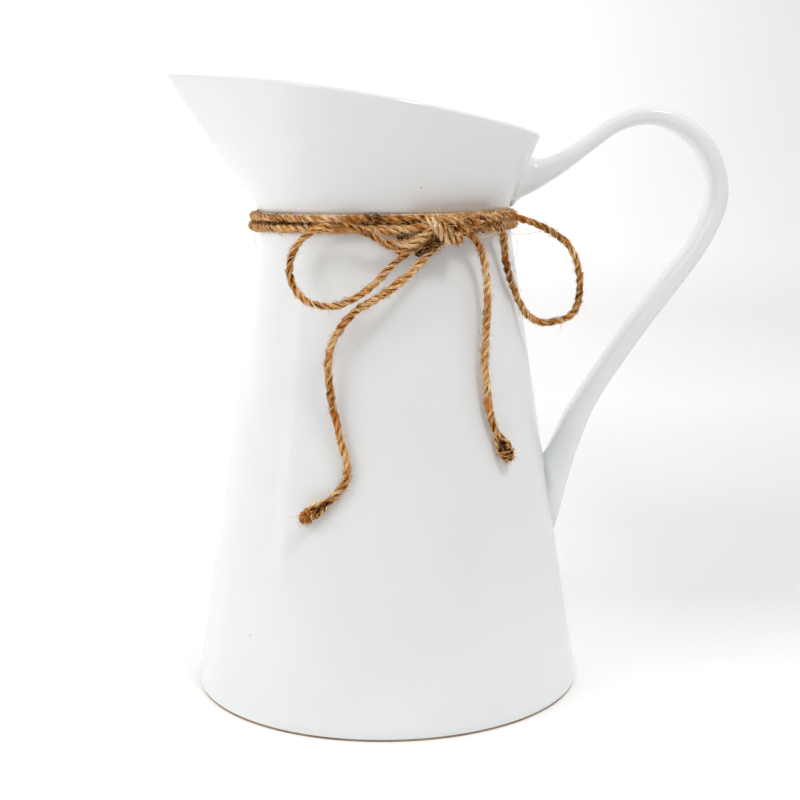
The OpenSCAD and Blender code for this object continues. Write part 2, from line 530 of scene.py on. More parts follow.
@dataclass(frozen=True)
class Jute:
    """Raw jute: each fibre has its own tone, from near-black brown where shade is painted to
    bleached cream.
    """

    shades: tuple[tuple[float, Triple], ...] = (
        (0.0, (0.010, 0.003, 0.001)), (0.14, (0.085, 0.021, 0.002)),
        (0.32, (0.33, 0.10, 0.010)), (0.5, (0.61, 0.255, 0.045)), (0.66, (0.81, 0.43, 0.125)),
        (0.84, (0.96, 0.71, 0.37)), (1.0, (1.0, 0.93, 0.73)))
    rust: Triple = (0.60, 0.17, 0.02)
    rust_share: float = 0.60
    grain_share: float = 0.34

    def make(self) -> bpy.types.Material:
        """Makes the fibre.

        Returns:
            The new material.
        """
        sheet = NodeSheet("jute_fibre")
        tone = sheet.add("ShaderNodeAttribute", attribute_name=TONE_AND_SHADE).outputs["Fac"]
        grain = sheet.span(sheet.noise(0.9 * MM, 4.0), 0.25, 0.75, -0.5, 0.5)
        colour = sheet.ramp(sheet.sum(tone, grain, self.grain_share), list(self.shades))
        patch = sheet.span(sheet.noise(8 * MM, 3.0), 0.53, 0.66, 0.0, self.rust_share)
        sheet.colour(sheet.mix(patch, colour, self.rust))
        sheet.shader.inputs["Roughness"].default_value = 0.6
        sheet.shader.inputs["Specular IOR Level"].default_value = 0.12
        sheet.bump([(sheet.noise(0.35 * MM, 3.0), 0.5, 0.08 * MM)])
        return sheet.material


@dataclass(frozen=True)
class StudioPaper:
    """Matte white backdrop: greyer in front, painted shadow and shade at the right, glowing at
    back left.

    A pair whose name ends in _x, _y or _z is where a change along that axis starts and ends.
    """

    white: Triple = (0.93, 0.925, 0.92)
    shade: Triple = (0.90, 0.895, 0.89)
    grey: Triple = (0.42, 0.415, 0.41)
    front_y: Pair = (-0.9, -0.25)
    right_painted_shadow: float = 0.44
    far_share: float = 0.6
    near_x: Pair = (-0.05, 0.18)
    far_x: Pair = (0.25, 0.80)
    near_to_far_y: Pair = (0.3, 0.8)
    behind_y: Pair = (-0.02, 0.12)
    front_share: float = 0.2
    floor_glow: Pair = (0.20, 0.13)
    floor_x: Pair = (-0.5, 0.5)
    wall_glow: Pair = (0.56, 0.06)
    wall_x: Pair = (-1.5, 1.5)
    wall_y: Pair = (-1.0, 1.0)
    wall_z: Pair = (0.02, 0.10)

    def make(self) -> bpy.types.Material:
        """Makes the paper.

        Returns:
            The new material.
        """
        sheet = NodeSheet("studio_paper")
        colour = sheet.ramp(sheet.noise(400 * MM), [(0.3, self.shade), (0.7, self.white)])
        x, y, z = sheet.axes()
        # Painted shadow of the pitcher on the floor behind it at the right, and painted shade on
        # the wall's right.
        near = sheet.span(x, *self.near_x, 0.0, self.right_painted_shadow)
        far = sheet.span(x, *self.far_x, 0.0, self.right_painted_shadow * self.far_share)
        right = sheet.times(sheet.span(y, *self.near_to_far_y, near, far),
                            sheet.span(y, *self.behind_y, self.front_share, 1.0))
        colour = sheet.mix(right, colour, self.grey)
        sheet.colour(sheet.mix(sheet.span(y, *self.front_y, 1.0, 0.0), colour, self.grey))
        floor = sheet.span(x, *self.floor_x, *self.floor_glow)
        wall = sheet.span(y, *self.wall_y, 0.0, sheet.span(x, *self.wall_x, *self.wall_glow))
        sheet.link(sheet.span(z, *self.wall_z, floor, wall),
                   sheet.shader.inputs["Emission Strength"])
        sheet.shader.inputs["Emission Color"].default_value = (1.0, 1.0, 1.0, 1.0)
        sheet.shader.inputs["Roughness"].default_value = 0.9
        sheet.bump([(sheet.noise(2 * MM), 0.05, 0.1 * MM)])
        return sheet.material


def dress(piece: bpy.types.Object, material: bpy.types.Material, slot: Slot,
          *nodes: str) -> bpy.types.Object:
    """Finishes a piece and puts it on the frame.

    Args:
        piece: the new object.
        material: its material.
        slot: the record's slot that it stands for; not used.
        nodes: the CAD nodes that it stands for.

    Returns:
        The same object.
    """
    piece.data.materials.append(material)
    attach(piece, ROOT)
    if nodes:
        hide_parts(*nodes)
    log.info("%s: %d faces", piece.name, len(piece.data.polygons))
    return piece


# ---- Studio ----


@dataclass
class SoftBox:
    """A rectangular studio light that points at the pitcher."""

    name: str
    place: Triple
    size: Pair
    watts: float
    aim: Triple = (0.0, 0.0, 0.16)

    def hang(self) -> None:
        """Hangs the light in the studio."""
        light = bpy.data.lights.new(self.name, "AREA")
        light.shape = "RECTANGLE"
        light.size, light.size_y = self.size
        light.energy = self.watts
        made = bpy.data.objects.new(self.name, light)
        made.location = self.place
        towards = Vector(self.aim) - Vector(self.place)
        made.rotation_euler = towards.to_track_quat("-Z", "Y").to_euler()
        made.visible_camera = False
        bpy.context.scene.collection.objects.link(made)


@dataclass
class Studio:
    """Camera, paper sweep, sky and lights."""

    lens_mm: float = 63.783
    sensor_mm: float = 36.0
    eye: Triple = (0.00743, -0.69827, 0.25693)
    tilt_down_deg: float = 9.5146
    roll_deg: float = -0.4904
    floor_r: float = 1.5
    sweep_r: float = 0.8
    wall_h: float = 1.7
    sky_left: float = 0.38
    sky_right: float = 1.28

    def camera(self) -> None:
        """Sets up the camera."""
        lens = bpy.data.cameras.new("studio_camera")
        lens.lens = self.lens_mm
        lens.sensor_width = self.sensor_mm
        lens.clip_start = 0.01
        made = bpy.data.objects.new("studio_camera", lens)
        bpy.context.scene.collection.objects.link(made)
        made.matrix_world = (Matrix.Translation(self.eye)
                             @ Matrix.Rotation(math.radians(90 - self.tilt_down_deg), 4, "X")
                             @ Matrix.Rotation(math.radians(self.roll_deg), 4, "Z"))
        bpy.context.scene.camera = made

    def sky(self) -> None:
        """Lights the whole room softly, more from the right than from the left."""
        world = bpy.data.worlds.new("studio_sky")
        bpy.context.scene.world = world
        world.use_nodes = True
        tree = world.node_tree
        place = tree.nodes.new("ShaderNodeTexCoord")
        apart = tree.nodes.new("ShaderNodeSeparateXYZ")
        spread = tree.nodes.new("ShaderNodeMapRange")
        tree.links.new(place.outputs["Generated"], apart.inputs[0])
        tree.links.new(apart.outputs["X"], spread.inputs["Value"])
        for key, value in (("From Min", -1), ("From Max", 1),
                           ("To Min", self.sky_left), ("To Max", self.sky_right)):
            spread.inputs[key].default_value = value
        glow = tree.nodes["Background"]
        glow.inputs["Color"].default_value = (1.0, 1.0, 1.0, 1.0)
        tree.links.new(spread.outputs["Result"], glow.inputs["Strength"])

    def sweep(self) -> None:
        """Lays the paper: a round floor that curves up into a wall all the way round."""
        steps = np.linspace(0.02, self.floor_r, 24)
        curve = corner((self.floor_r, self.sweep_r), self.sweep_r, -90, 0, 20)
        profile = np.array([(r, 0.0) for r in steps] + curve
                           + [(self.floor_r + self.sweep_r, self.wall_h)])
        shape = Shape()
        shape.grid(lathe(profile, 96)[:, ::-1], capped=False)
        paper = shape.build("paper_sweep")
        paper.data.materials.append(StudioPaper().make())

    def lights(self) -> None:
        """Hangs the soft boxes."""
        boxes = (
            SoftBox("window_left", (-1.0, -0.75, 0.95), (0.65, 0.65), 3.9),
            SoftBox("strip_left", (-1.15, -0.33, 0.35), (0.22, 0.75), 0.35),
            SoftBox("key_right", (0.48, -0.62, 1.15), (0.24, 0.24), 3.8),
        )
        for box in boxes:
            box.hang()

    def build(self) -> None:
        """Sets up everything round the pitcher."""
        self.sky()
        self.sweep()
        self.lights()
        bpy.context.scene.view_settings.view_transform = "Standard"


# ---- Clay ----


@dataclass
class Vessel:
    """The cone, its foot and the collar with the pinched spout."""

    foot_r: float = 96.2 * MM
    neck_r: float = 60.9 * MM
    neck_z: float = 234 * MM
    waist_in: float = 0.5 * MM
    wall: float = 4.6 * MM
    floor_h: float = 7 * MM
    bare_h: float = 0.8 * MM
    bare_in: float = 0.7 * MM
    tip_z: float = 300 * MM
    back_z: float = 270 * MM
    tip_x: float = 103.8 * MM
    rim_r: float = 76 * MM
    rim_straight: float = 0.54
    nose_r: float = 6 * MM
    lip_t: float = 3.8 * MM
    sharp_deg: float = 32.0
    sharp_share: float = 0.3
    foot_round: float = 1.3 * MM
    foot_edge: float = 0.35 * MM
    glaze_skin: float = 0.25 * MM
    skin_back: float = 0.4 * MM
    cove: float = 6 * MM
    cove_overlap: float = 1 * MM
    hub_r: float = 1 * MM
    cone_sides: int = 192
    cone_rows: int = 90
    collar_turns: int = 110
    crowding: float = 1.4
    collar_rows: int = 36
    lip_steps: int = 12

    def cone_r(self, z: Array | float) -> Array | float:
        """Returns the cone's outer radius at height z."""
        s = z / self.neck_z
        return (self.foot_r + (self.neck_r - self.foot_r) * s
                - 4 * self.waist_in * s * (1 - s))

    @property
    def lean(self) -> float:
        """The tilt of the spout's flanks, found from the nose and the tip."""
        return math.acos((self.rim_r - self.nose_r) / (self.tip_x - self.nose_r))

    def teardrop(self, angle: Array, inset: float | Array) -> Array:
        """Returns the rim's radius at an angle from the spout.

        Args:
            angle: angles from the spout, in radians, from 0 to pi.
            inset: how far inside the outer rim.

        Returns:
            The radius at each angle.
        """
        r, nose, lean = self.rim_r - inset, self.nose_r - inset, self.lean
        centre = (r - nose) / math.cos(lean)
        nose_end = np.arctan2(nose * math.sin(lean), centre + nose * math.cos(lean))
        inside = np.maximum(nose**2 - (centre * np.sin(angle)) ** 2, 0)
        round_nose = centre * np.cos(angle) + np.sqrt(inside)
        flank = r / np.cos(np.maximum(0, lean - angle))
        return np.where(angle < nose_end, round_nose, flank)

    def rim_z(self, x: Array) -> Array:
        """Slopes the rim from the spout's tip down to the handle.

        Args:
            x: places along X.

        Returns:
            The rim's height at each.
        """
        s = (x + self.tip_x) / (self.rim_r + self.tip_x)
        fall = self.rim_straight * s + (1 - self.rim_straight) * s * s
        return self.tip_z - (self.tip_z - self.back_z) * fall

    def collar_ring(self, up: float, inset: float, drop: float) -> Array:
        """Makes one ring of the collar's skin.

        Args:
            up: 0 at the neck and 1 at the rim.
            inset: how far inside the outer skin.
            drop: how far below the rim, away from the nose, where the lip is sharper.

        Returns:
            The ring's points.
        """
        steps = np.arange(-self.collar_turns, self.collar_turns) / self.collar_turns
        turn = math.pi * np.abs(steps) ** self.crowding * np.sign(steps)
        angle = np.abs(turn)
        r = (self.neck_r - inset) * (1 - up) + self.teardrop(angle, inset) * up
        sharp = np.clip(angle / math.radians(self.sharp_deg), self.sharp_share, 1)
        top = self.rim_z(-self.teardrop(angle, 0.0) * np.cos(angle)) - drop * sharp
        return np.stack([-r * np.cos(turn), -r * np.sin(turn),
                         self.neck_z + (top - self.neck_z) * up], axis=1)

    def outside(self, points: Array) -> Array:
        """Measures how far points are outside the pitcher, where its rim is low.

        Args:
            points: points in space.

        Returns:
            The distance at each, below zero inside.
        """
        x, y, z = points[..., 0], points[..., 1], points[..., 2]
        r = np.hypot(x, y)
        angle = np.arctan2(np.abs(y), -x)
        up = np.clip((z - self.neck_z) / (self.back_z - self.neck_z), 0, 1.2)
        collar = self.neck_r * (1 - up) + self.teardrop(angle, 0.0) * up
        collar_tilt = math.atan2(self.rim_r - self.neck_r, self.back_z - self.neck_z)
        cone_tilt = math.atan2(self.foot_r - self.neck_r, self.neck_z)
        return np.where(z > self.neck_z, (r - collar) * math.cos(collar_tilt),
                        (r - self.cone_r(z)) * math.cos(cone_tilt))

    def build_wall(self, glaze: bpy.types.Material) -> None:
        """Turns the cone's wall, with the glaze rolled under at the foot.

        Args:
            glaze: its material.
        """
        low = self.bare_h
        heights = np.linspace(low + self.foot_round, self.neck_z, self.cone_rows)
        outer = [(self.cone_r(z), z) for z in heights]
        inner = [(self.cone_r(z) - self.wall, z) for z in heights[::-1]]
        edge = corner((self.cone_r(low) - self.foot_round, low + self.foot_round),
                      self.foot_round, -90, -8)
        shape = Shape()
        shape.grid(lathe(np.array(edge + outer + inner[:-1]), self.cone_sides), closed=True)
        dress(shape.build("glazed_wall"), glaze, Slot.GLAZE, "body_wall")

    def build_foot(self, glaze: bpy.types.Material, clay: bpy.types.Material) -> None:
        """Makes the bare clay disc under the pitcher and the glaze over its floor inside.

        Args:
            glaze: the glaze on the floor.
            clay: the disc's material.
        """
        edge_r = self.foot_r - self.bare_in
        inside_r = self.cone_r(self.floor_h) - self.wall
        under = [(r, 0.0) for r in np.linspace(self.hub_r, edge_r - 0.4 * MM, 40)]
        side = corner((edge_r - self.foot_edge, self.foot_edge), self.foot_edge, -90, 0, 4)
        top = [(edge_r, self.bare_h), (self.cone_r(self.bare_h) - self.wall, self.bare_h),
               (inside_r, self.floor_h)]
        back = [(r, self.floor_h) for r in np.linspace(inside_r - 1 * MM, self.hub_r, 12)]
        shape = Shape()
        shape.grid(lathe(np.array(under + side + top + back), self.cone_sides))
        dress(shape.build("foot_disc"), clay, Slot.CLAY, "base_disc")

        floor_top = self.floor_h + self.glaze_skin
        centre = (inside_r - self.cove + self.cove_overlap, floor_top + self.cove)
        skin = ([(r, floor_top) for r in np.linspace(self.hub_r, centre[0], 20)[:-1]]
                + corner(centre, self.cove, -90, -4, 10))
        buried = [(r + self.skin_back, z) if z > floor_top else (r, self.floor_h)
                  for r, z in skin]
        shape = Shape()
        shape.grid(lathe(np.array(buried + skin[::-1]), self.cone_sides))
        dress(shape.build("floor_glaze"), glaze, Slot.GLAZE)

    def build_collar(self, glaze: bpy.types.Material) -> None:
        """Makes the flaring collar with its rounded lip.

        Args:
            glaze: its material.
        """
        half = self.lip_t / 2
        levels = np.linspace(0, 1, self.collar_rows + 1)
        rings = [self.collar_ring(up, 0.0, half) for up in levels]
        for a in np.linspace(0, math.pi, self.lip_steps + 1)[1:-1]:
            rings.append(self.collar_ring(1.0, half * (1 - math.cos(a)),
                                          half * (1 - math.sin(a))))
        rings += [self.collar_ring(up, self.lip_t, half) for up in levels[::-1]]
        shape = Shape()
        shape.grid(np.array(rings), closed=True)
        dress(shape.build("glazed_collar"), glaze, Slot.GLAZE, "collar")


@dataclass
class StrapHandle:
    """The looped strap, pressed on with a thumbed fillet at each end.

    flared_top and flared_low are how many points of its line widen towards each end.
    """

    vessel: Vessel
    width: float = 22 * MM
    thick: float = 9.4 * MM
    low_thick: float = 10 * MM
    root_flare: float = 4 * MM
    fillet_top: float = 6 * MM
    fillet_low: float = 11 * MM
    most_flare_top: float = 5 * MM
    most_flare_low: float = 7 * MM
    side_ease: float = 0.6
    outward_ease: float = 1.5
    squareness: float = 0.75
    sink: float = 1.6 * MM
    tuck: float = 0.4 * MM
    root_rise: float = 1.2 * MM
    flared_top: float = 4.0
    flared_low: float = 3.0
    tongue: float = 0.96
    sides: int = 56
    ring_gap: float = 1.2 * MM

    @property
    def line(self) -> Array:
        """The strap's line, as rows of X, Z and the strap's thickness there."""
        t, low = self.thick / MM, self.low_thick / MM
        return MM * np.array([
            (60, 247, 19), (70, 249.5, 16), (84, 255, t + 1), (99, 265, t - 1),
            (111, 273.5, t - 1), (123, 278, t), (135, 277.5, t), (146.5, 272, t),
            (156, 263, t), (161.5, 251, t), (162.5, 239, t + 0.6), (159.5, 228, t + 0.4),
            (152, 213.5, t), (140.5, 198, low), (121.5, 172.5, low), (102.5, 144, low),
            (92.5, 124.5, low + 2.4), (85.5, 100, low + 1), (80, 74, low)])

    def rings(self) -> Array:
        """Sweeps the strap's rounded section along its line.

        Returns:
            Points as rings by sides by 3.
        """
        route = self.line
        last = len(route) - 1
        # Each point's number rides along as a fourth column, too small to change the spacing.
        tiny = 1e-6
        marks = np.arange(len(route), dtype=float)[:, None]
        path = even_steps(smooth_curve(np.hstack([route, marks * tiny]), 16), self.ring_gap)
        mark = path[:, 3] / tiny
        along = unit(np.gradient(path[:, :2], axis=0))
        end = np.maximum(1 - mark / self.flared_top, (mark - last) / self.flared_low + 1)
        end = np.clip(end, 0, 1)
        tongue = np.sqrt(1 - np.clip(1 - (last - mark), 0, 1) ** 2 * self.tongue)
        half_w = (self.width / 2 + self.root_flare / 2 * end**2) * tongue
        a = np.linspace(0, 2 * math.pi, self.sides, endpoint=False)
        out = np.sign(np.cos(a)) * np.abs(np.cos(a)) ** self.squareness
        wide = np.sign(np.sin(a)) * np.abs(np.sin(a)) ** self.squareness
        lift = path[:, 2:3] / 2 * out[None]
        return np.stack([path[:, 0:1] - lift * along[:, 1:2], half_w[:, None] * wide[None],
                         path[:, 1:2] + lift * along[:, 0:1]], axis=-1)

    def pressed_on(self, rings: Array) -> Array:
        """Flares the strap where it nears the pitcher and buries what lies inside the wall.

        Args:
            rings: the strap's points.

        Returns:
            The points after pressing.
        """
        middle = rings.mean(axis=1, keepdims=True)
        spoke = unit(rings - middle)
        low_end = np.linspace(0, 1, len(rings))[:, None] > 0.5
        radius = np.where(low_end, self.fillet_low, self.fillet_top)
        gap = np.clip(self.vessel.outside(rings) / radius, 0, 1)
        flare = radius * (1 - np.sqrt(1 - (1 - gap) ** 2))
        side = np.abs(spoke[..., 1])
        most = np.where(low_end, self.most_flare_low * (1 - self.side_ease * side),
                        self.most_flare_top)
        flare = np.minimum(flare, most)
        outward = unit(rings * np.array([1.0, 1.0, 0.0]))
        flare *= np.clip(1 - self.outward_ease * (spoke * outward).sum(-1), 0, 1)
        room = np.maximum(rings[..., 2] - self.vessel.neck_z - self.root_rise, 0)
        falling = np.maximum(-spoke[..., 2], 1e-6)
        flare = np.where(low_end, flare, np.minimum(flare, room / falling))
        moved = rings + spoke * flare[..., None]
        depth = self.vessel.outside(moved)
        lifted = (self.vessel.outside(rings) < 0) & (depth > -self.tuck)
        depth = np.where(lifted, depth + self.tuck, depth)
        r = np.hypot(moved[..., 0], moved[..., 1])
        pull = np.where(depth < -self.sink, (r - depth - self.sink) / r, 1.0)
        pull = np.where(lifted, (r - depth) / r, pull)
        moved[..., 0] *= pull
        moved[..., 1] *= pull
        return moved

    def build(self, glaze: bpy.types.Material) -> None:
        """Makes the handle.

        Args:
            glaze: its material.
        """
        shape = Shape()
        shape.grid(self.pressed_on(self.rings())[:, ::-1])
        dress(shape.build("strap_handle"), glaze, Slot.GLAZE, "handle")


# ---- Twine ----


@dataclass
class Twine:
    """Three-ply jute twine: fibrous plies laid round each other, with loose fuzz.

    A pair is the least and the most, but a pair of tones is the middle and the spread.
    """

    diameter: float = 4.0 * MM
    ply_r: float = 1.06 * MM
    ply_out: float = 0.96 * MM
    lay: float = 13.5 * MM
    fibre_turn: float = 11 * MM
    plies: int = 3
    twist: Twist = Twist.S
    ring_gap: float = 0.45 * MM
    ply_sides: int = 16
    fibre_every: float = 0.62 * MM
    fibre_r: float = 0.105 * MM
    hair_r: float = 0.06 * MM
    ridge_depth: float = 0.20
    ply_contrast: float = 0.09
    streak_contrast: float = 0.50
    crease_painted_shade: float = 0.62
    length_contrast: float = 0.24
    length_swell: float = 0.15
    lay_wander: float = 0.5
    spread_wander: float = 0.16
    fibre_mm: Pair = (3, 8)
    lying_share: float = 0.7
    lying_mm: Pair = (0, 0.16)
    lifted_mm: Pair = (0.2, 0.75)
    lying_askew: Pair = (0.2, 0.9)
    lying_tone: Pair = (0.10, 0.28)
    hair_root: float = 0.40
    hair_forward: Pair = (0.4, 1.2)
    hair_out: Pair = (0.3, 1.0)
    hair_curl: Pair = (0.1, 0.6)
    hair_tone: Pair = (0.66, 0.18)
    clear_of_glaze: float = 0.2 * MM

    def ply_lines(self, line: Array, rng: Rng, spread: Array | float = 1.0) -> list[Array]:
        """Lays the plies round a line.

        Args:
            line: the twine's centreline, evenly spaced.
            rng: the seeded source of random numbers.
            spread: how far the plies stand apart, as a share of their usual distance.

        Returns:
            Each ply's own centreline.
        """
        _, side, up = carried_axes(line)
        along = distances(line)
        wander = ripple(rng, len(line), 1, 22)[:, 0] * self.lay_wander
        start = rng.uniform(0, 2 * math.pi)
        lines = []
        for k in range(self.plies):
            angle = (self.twist.value * 2 * math.pi * along / self.lay + start + wander
                     + 2 * math.pi * k / self.plies)
            uneven = 1 + self.spread_wander * ripple(rng, len(line), 1, 12)[:, 0]
            out = self.ply_out * spread * uneven
            lines.append(line + out[:, None] * (np.cos(angle)[:, None] * side
                                                + np.sin(angle)[:, None] * up))
        return lines

    def ply(self, shape: Shape, ply_line: Array, line: Array, rng: Rng, swell: Array,
            tone: Array) -> None:
        """Adds one ply with its ridged, streaky skin, painted shade in its creases and its lying
        fibres.

        Args:
            shape: where the faces go.
            ply_line: the ply's centreline.
            line: the twine's centreline.
            rng: the seeded source of random numbers.
            swell: the ply's thickness at each point, as a share of its usual one.
            tone: the twine's tone at each point.
        """
        heading = unit(np.gradient(ply_line, axis=0))
        outward = ply_line - line
        outward = unit(outward - heading * (outward * heading).sum(1, keepdims=True))
        across = np.cross(heading, outward)
        a = np.linspace(0, 2 * math.pi, self.ply_sides, endpoint=False)
        turns = -self.twist.value * distances(line) / self.fibre_turn
        ridges = spun(ripple(rng, len(line), self.ply_sides, 6), turns)
        radius = self.ply_r * swell[:, None] * (1 + self.ridge_depth * ridges)
        spokes = (np.cos(a)[None, :, None] * outward[:, None]
                  + np.sin(a)[None, :, None] * across[:, None])
        streaks = spun(ripple(rng, len(line), self.ply_sides, 8), turns)
        # Painted shade: each ply is darker on the side that faces the other plies.
        facing = np.clip(0.5 + 0.65 * np.cos(a), 0, 1)[None]
        shade = (tone[:, None] + rng.normal(0, self.ply_contrast)
                 + self.streak_contrast * streaks - self.crease_painted_shade * (1 - facing))
        shape.grid(ply_line[:, None] + radius[..., None] * spokes, np.clip(shade, 0, 1))

        length = distances(line)[-1]
        for _ in range(int(length / self.fibre_every)):
            self.lying_fibre(shape, ply_line, (outward, across), rng, swell, tone)

    def lying_fibre(self, shape: Shape, ply_line: Array, axes: tuple[Array, Array],
                    rng: Rng, swell: Array, tone: Array) -> None:
        """Adds one fibre that lies along the skin of a ply.

        Args:
            shape: where the faces go.
            ply_line: the ply's centreline.
            axes: the ply's outward and sideways directions.
            rng: the seeded source of random numbers.
            swell: the ply's thickness.
            tone: the twine's tone.
        """
        outward, across = axes
        span = int(rng.uniform(*self.fibre_mm) * MM / self.ring_gap)
        first = int(rng.integers(0, max(1, len(ply_line) - span)))
        picked = np.unique(np.linspace(first, min(first + span, len(ply_line) - 1), 7).astype(int))
        if len(picked) < 4:
            return
        spin = -self.twist.value * math.pi * span * self.ring_gap / self.fibre_turn
        angle = (rng.normal(0, 0.7)
                 + np.linspace(-1, 1, len(picked)) * spin * rng.uniform(*self.lying_askew))
        bow = np.sin(np.linspace(0, math.pi, len(picked)))
        lies = rng.random() < self.lying_share
        lift = rng.uniform(*(self.lying_mm if lies else self.lifted_mm))
        height = self.ply_r * swell[picked] + (0.02 + lift * bow) * MM
        points = (ply_line[picked] + (height * np.cos(angle))[:, None] * outward[picked]
                  + (height * np.sin(angle))[:, None] * across[picked])
        shape.hair(points, self.fibre_r * rng.uniform(0.6, 1.3),
                   float(np.clip(tone[first] + rng.normal(*self.lying_tone), 0.05, 1)))

    def run(self, shape: Shape, route: list | Array, rng: Rng,
            swell: float = 1.0, spread: float = 1.0, tone: float = 0.62) -> Array:
        """Adds twine along a route.

        Args:
            shape: where the faces go.
            route: the points that it follows, in metres.
            rng: the seeded source of random numbers.
            swell: how thick the plies are, as a share of their usual thickness.
            spread: how far they stand apart.
            tone: how light the twine is.

        Returns:
            The twine's centreline.
        """
        line = even_steps(smooth_curve(route), self.ring_gap)
        thick = swell * (1 + self.length_swell * ripple(rng, len(line), 1, 16)[:, 0])
        shade = tone + self.length_contrast * ripple(rng, len(line), 1, 24)[:, 0]
        for ply_line in self.ply_lines(line, rng, spread):
            self.ply(shape, ply_line, line, rng, thick, shade)
        return line

    def fuzz(self, shape: Shape, line: Array, rng: Rng, count: int,
             vessel: Vessel, reach: Pair = (1.5, 5.0),
             coarse: float = 1.0) -> None:
        """Adds loose hairs that spring from the twine.

        Args:
            shape: where the faces go.
            line: the twine's centreline.
            rng: the seeded source of random numbers.
            count: how many hairs to try.
            vessel: the pitcher, which no hair runs into.
            reach: the shortest and the longest hair, in millimetres.
            coarse: how thick the hairs are, as a share of their usual thickness.
        """
        heading, side, up = carried_axes(line)
        for _ in range(count):
            at = int(rng.integers(0, len(line)))
            angle = rng.uniform(0, 2 * math.pi)
            out = math.cos(angle) * side[at] + math.sin(angle) * up[at]
            forward = heading[at] * rng.choice([-1.0, 1.0])
            long = rng.uniform(*reach) * MM * rng.uniform(0.5, 1.0)
            start = line[at] + out * self.diameter * self.hair_root
            first = unit(forward * rng.uniform(*self.hair_forward)
                         + out * rng.uniform(*self.hair_out))
            curl = unit(rng.normal(0, 1, 3)) * rng.uniform(*self.hair_curl)
            t = np.linspace(0, 1, 6)[:, None]
            points = start + long * (t * first + 0.5 * t**2 * curl)
            if (vessel.outside(points) < self.clear_of_glaze).any():
                continue
            shape.hair(points, self.hair_r * coarse * rng.uniform(0.7, 1.3),
                       float(np.clip(rng.normal(*self.hair_tone), 0.1, 1)))


@dataclass
class EndKnot:
    """A tail's last 15 mm or so: plies opened round a gap, a binding and a frayed tuft."""

    name: str
    node: str
    start: Triple
    end: Triple
    seed: int
    half_width: float = 2.5 * MM
    bindings: tuple = ((0.44, 0.46), (0.62, 0.40))
    binding_turns: float = 1.15
    binding_start: float = 2.4
    binding_rise: float = 0.14
    binding_r: float = 0.98
    tuft_hairs: int = 260
    tuft_from: Pair = (0.35, 0.84)
    tuft_reach: Pair = (0.12, 0.28)
    tuft_r: Pair = (0.06 * MM, 0.14 * MM)

    def build(self, jute: bpy.types.Material) -> bpy.types.Object:
        """Makes the frayed end.

        Args:
            jute: its material.

        Returns:
            The new piece.
        """
        rng = np.random.default_rng(self.seed)
        first, last = np.array(self.start) * MM, np.array(self.end) * MM
        axis = last - first
        along = unit(axis)
        side = unit(np.cross(along, np.array([0.0, 1.0, 0.0])))
        axes = (first, axis, side, np.cross(along, side))
        shape = Shape()
        for sign, depth, tone in ((-1, 0.15, 0.74), (1, 0.15, 0.70), (0.12, 0.75, 0.22),
                                  (-0.45, -0.55, 0.50), (0.5, -0.5, 0.46)):
            self.opened_ply(shape, rng, axes, (sign, depth, tone))
        self.binding(shape, rng, axes)
        self.tuft(shape, rng, axes)
        return dress(shape.build(self.name), jute, Slot.JUTE, self.node)

    def opened_ply(self, shape: Shape, rng: Rng, axes: tuple,
                   place: Triple) -> None:
        """Adds one ply that bows out round the gap.

        Args:
            shape: where the faces go.
            rng: the seeded source of random numbers.
            axes: the first point, the knot's axis, and its side and front directions.
            place: how far it stands to the side and to the front, and its tone.
        """
        first, axis, side, front = axes
        sign, depth, tone = place
        shares = np.array([-0.12, 0.08, 0.26, 0.45, 0.64, 0.82, 0.95])
        widths = np.array([0.25, 0.62, 1.0, 1.08, 0.92, 0.72, 0.55]) * self.half_width
        route = [first + axis * s + side * sign * w * 0.92 + front * depth * w * 0.8
                 for s, w in zip(shares, widths)]
        thin = Twine(ply_r=0.72 * MM, ply_out=0.42 * MM, lay=9 * MM, plies=2,
                     twist=Twist.Z, fibre_every=0.8 * MM)
        thin.run(shape, route, rng, tone=tone)

    def binding(self, shape: Shape, rng: Rng, axes: tuple) -> None:
        """Adds the turn of twine that the end is tied with.

        Args:
            shape: where the faces go.
            rng: the seeded source of random numbers.
            axes: as for opened_ply.
        """
        first, axis, side, front = axes
        thin = Twine(ply_r=0.62 * MM, ply_out=0.40 * MM, lay=8 * MM, plies=2,
                     fibre_every=0.7 * MM)
        for begin, tone in self.bindings:
            turns = np.linspace(0, 2 * math.pi * self.binding_turns, 16)
            route = [first + axis * (begin + self.binding_rise * t / turns[-1])
                     + self.half_width * self.binding_r
                     * (math.cos(t + self.binding_start) * side
                        + math.sin(t + self.binding_start) * front)
                     for t in turns]
            thin.run(shape, route, rng, tone=tone)

    def tuft(self, shape: Shape, rng: Rng, axes: tuple) -> None:
        """Adds the loose fibres at the very end.

        Args:
            shape: where the faces go.
            rng: the seeded source of random numbers.
            axes: as for opened_ply.
        """
        first, axis, side, front = axes
        long = np.linalg.norm(axis)
        for _ in range(self.tuft_hairs):
            turn, out = rng.uniform(0, 2 * math.pi), math.sqrt(rng.uniform(0, 1))
            spoke = math.cos(turn) * side + math.sin(turn) * front
            start = first + axis * rng.uniform(*self.tuft_from) + spoke * out * self.half_width
            reach = long * rng.uniform(*self.tuft_reach)
            lean = spoke * rng.uniform(-0.3, 0.8) * out + rng.normal(0, 0.3, 3)
            t = np.linspace(0, 1, 6)[:, None]
            points = start + reach * (t * unit(axis) + t**2 * lean)
            shape.hair(points, rng.uniform(*self.tuft_r),
                       float(np.clip(rng.normal(0.58, 0.2), 0.1, 1)))


